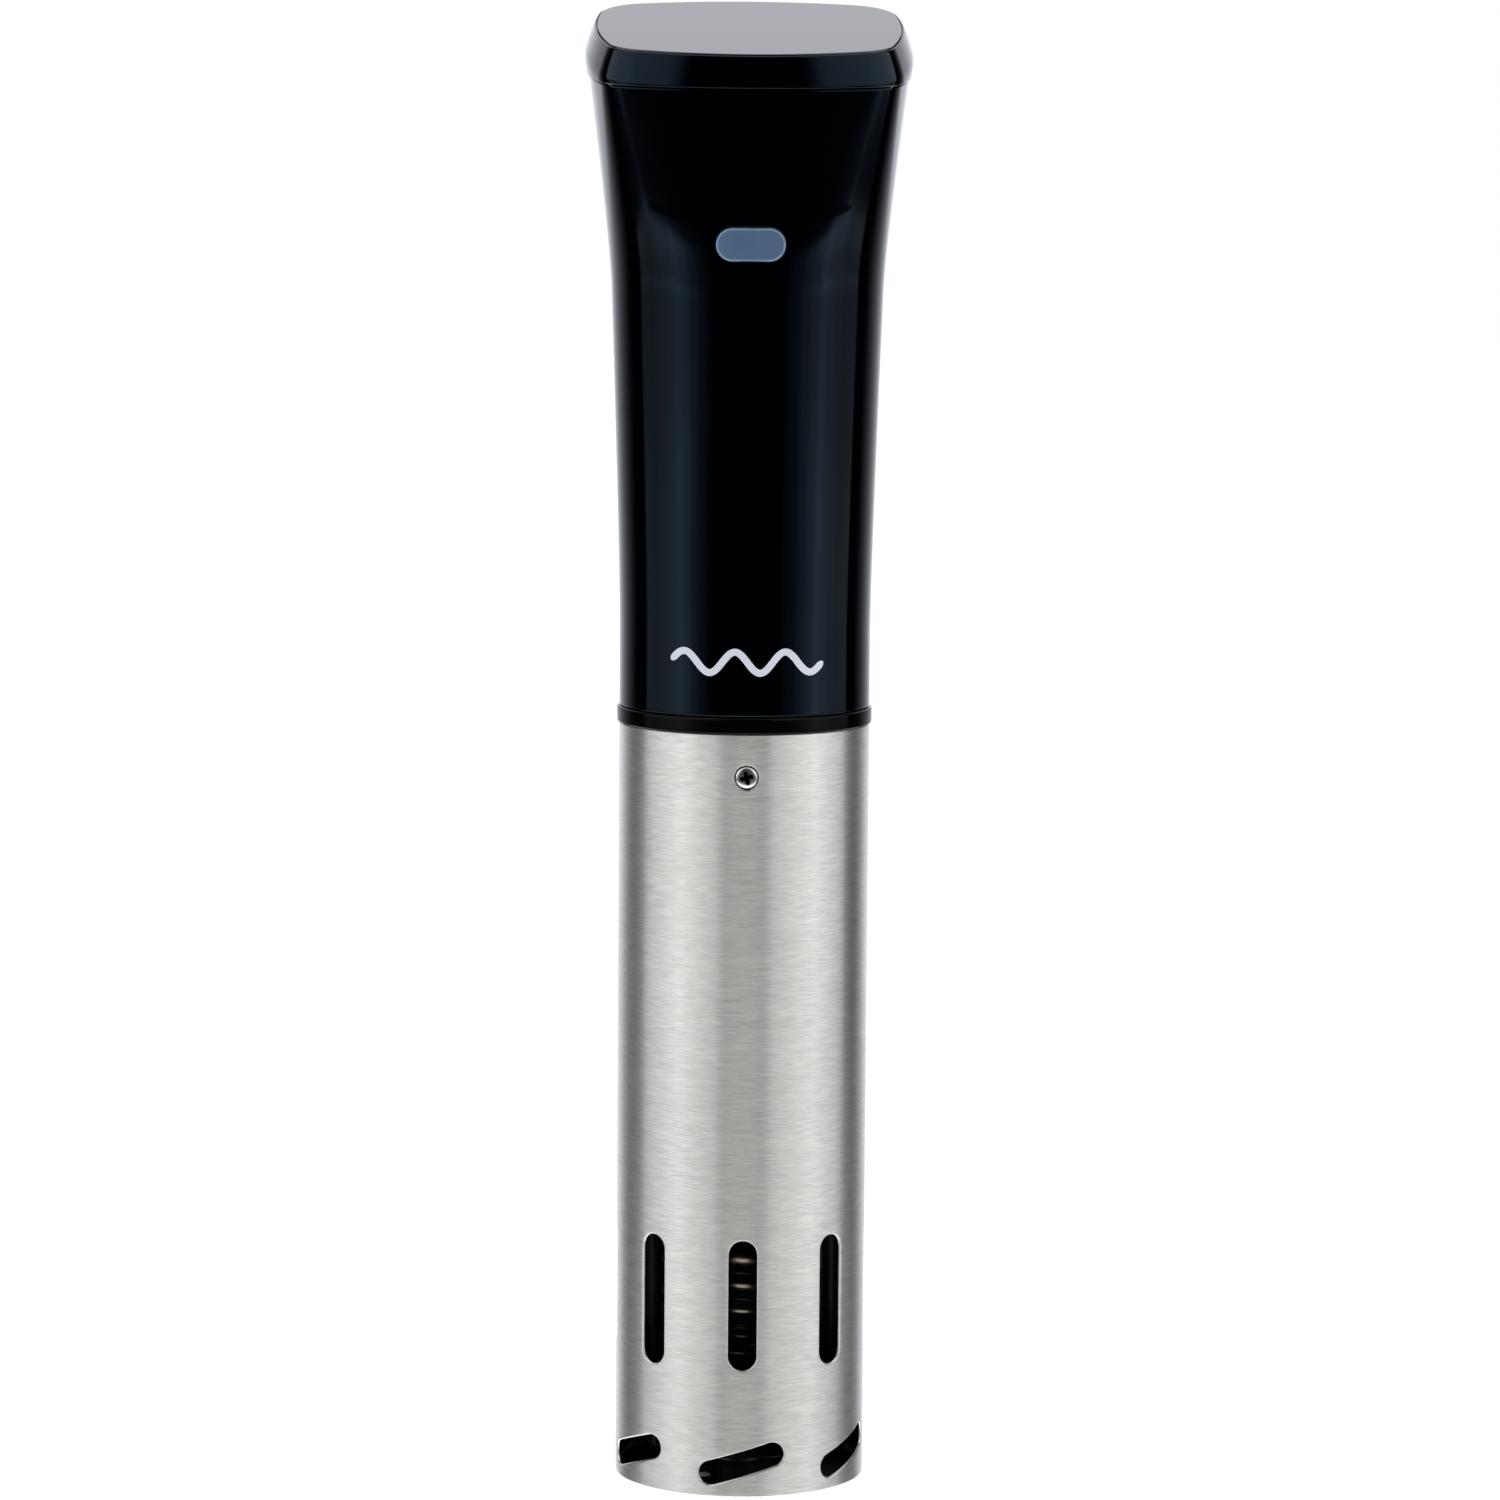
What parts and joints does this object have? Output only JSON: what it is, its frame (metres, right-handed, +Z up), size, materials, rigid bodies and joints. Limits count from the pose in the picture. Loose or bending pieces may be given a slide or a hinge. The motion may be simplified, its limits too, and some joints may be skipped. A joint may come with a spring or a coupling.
{
  "type": "sous vide circulator",
  "caption": "Clip-on immersion circulator: slotted steel tube with heater and pump, flared gloss head with a sloping touch panel, sprung clip at the back.",
  "frame": {"origin": "middle of the flat foot that the circulator stands on, on the tube's axis", "axes": "+Z up along the tube's axis, -Y the front with the status light, +Y the back with the clip and the cord gland, +X to the right of someone behind it, which is the viewer's right from the front"},
  "size_m": [0.0806, 0.1022, 0.3665],
  "materials": {
    "black_gloss": "high gloss",
    "black_satin": "fine satin texture",
    "black_rubber": "matt",
    "panel_glass": "polished, back-printed dark",
    "lens_plastic": "translucent light window",
    "brushed_steel": "brushed round the tube",
    "polished_steel": "polished stainless steel",
    "spring_steel": "drawn wire",
    "zinc_plate": "zinc plated",
    "board_green": "solder-masked glass laminate",
    "white_nylon": "natural nylon",
    "grey_plastic": "moulded, glass filled",
    "bronze": "sintered bronze",
    "relay_blue": "moulded case",
    "winding_yellow": "wound tape",
    "cable_grey": "ribbon insulation"
  },
  "bodies": {
    "housing": {"steel_tube": "brushed_steel", "foot_plate": "brushed_steel", "lower_bush": "bronze", "pump_cover": "brushed_steel", "support_rod_1": "polished_steel", "support_rod_2": "polished_steel", "support_rod_3": "polished_steel", "support_rod_4": "polished_steel", "heater_coil": "polished_steel", "temperature_probe": "polished_steel", "level_electrode_low": "polished_steel", "level_electrode_high": "polished_steel", "shaft_guide": "polished_steel", "guide_bush": "bronze", "bulkhead": "grey_plastic", "shaft_seal": "black_rubber", "seal_ring": "black_rubber", "collar_ring": "black_rubber", "tube_screw_1": "polished_steel", "tube_screw_2": "polished_steel", "tube_screw_3": "polished_steel", "motor_can": "zinc_plate", "motor_bracket": "zinc_plate", "motor_screw_1": "zinc_plate", "motor_screw_2": "zinc_plate", "inner_chassis": "grey_plastic", "power_board": "board_green", "transformer": "winding_yellow", "capacitor": "black_satin", "relay": "relay_blue", "terminal_block": "board_green", "fuse": "white_nylon", "heat_sink": "zinc_plate", "status_board": "board_green", "status_led": "white_nylon", "display_board": "board_green", "digit_display": "black_satin", "touch_spring_1": "spring_steel", "touch_spring_2": "spring_steel", "touch_spring_3": "spring_steel", "touch_spring_4": "spring_steel", "upper_housing": "black_gloss", "status_lens": "lens_plastic", "top_bezel": "black_gloss", "touch_panel": "panel_glass", "ribbon_cable": "cable_grey", "cord_gland": "black_satin", "clip_bracket": "black_satin", "jaw_pad": "black_rubber", "clip_screw_1": "zinc_plate", "clip_screw_2": "zinc_plate", "clip_pin": "polished_steel", "clip_spring": "spring_steel"},
    "rotor": {"drive_shaft": "polished_steel", "impeller": "black_satin", "shaft_coupling": "white_nylon", "motor_shaft": "polished_steel", "cooling_fan": "black_satin"},
    "clip": {"clip_lever": "black_satin", "lever_pad": "black_rubber"}
  },
  "joints": [
    {"name": "impeller_spin", "type": "hinge", "parent": "housing", "child": "rotor", "pos_m": [0, 0, 0.1], "axis": [0, 0, 1], "continuous": true},
    {"name": "clip_open", "type": "hinge", "parent": "housing", "child": "clip", "pos_m": [0, 0.0465, 0.24], "axis": [1, 0, 0], "range_deg": [0, 26], "stiffness_Nm_per_rad": 1.2, "springref_deg": -20.05, "deforming": ["clip_spring"]}
  ]
}
